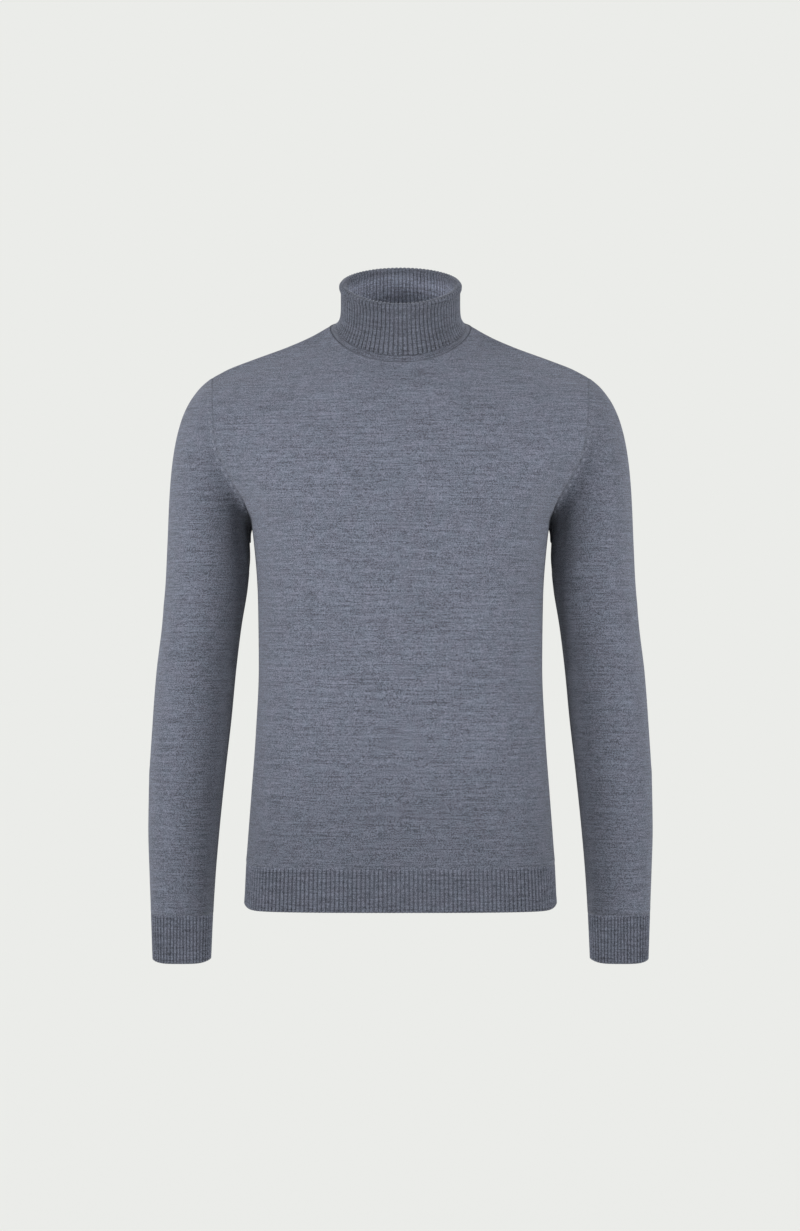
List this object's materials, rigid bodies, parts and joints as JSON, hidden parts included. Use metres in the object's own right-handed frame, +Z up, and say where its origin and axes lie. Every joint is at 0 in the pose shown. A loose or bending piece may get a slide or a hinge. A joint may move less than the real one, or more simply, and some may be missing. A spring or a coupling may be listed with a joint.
{
  "type": "turtleneck sweater",
  "caption": "Fine-gauge roll-neck sweater with long set-in sleeves, filled out as worn and open at the neck, hem and cuffs.",
  "frame": {"origin": "middle of the neck base, level with the highest points of the shoulders, where the wearer holds the sweater", "axes": "+Z up the body, -Y out of the chest (the front), +X to the wearer's left"},
  "size_m": [0.586, 0.2387, 0.8112],
  "materials": {
    "plain_knit": "matte fine-gauge plain knit in a blue-grey melange yarn, with a light nap",
    "rib_knit": "matte one-by-one rib in the same yarn"
  },
  "bodies": {
    "root": {"front_panel": "plain_knit", "back_panel": "plain_knit", "sleeve_left": "plain_knit", "sleeve_right": "plain_knit", "collar": "rib_knit", "front_welt": "rib_knit", "back_welt": "rib_knit", "cuff_left": "rib_knit", "cuff_right": "rib_knit"}
  },
  "joints": []
}
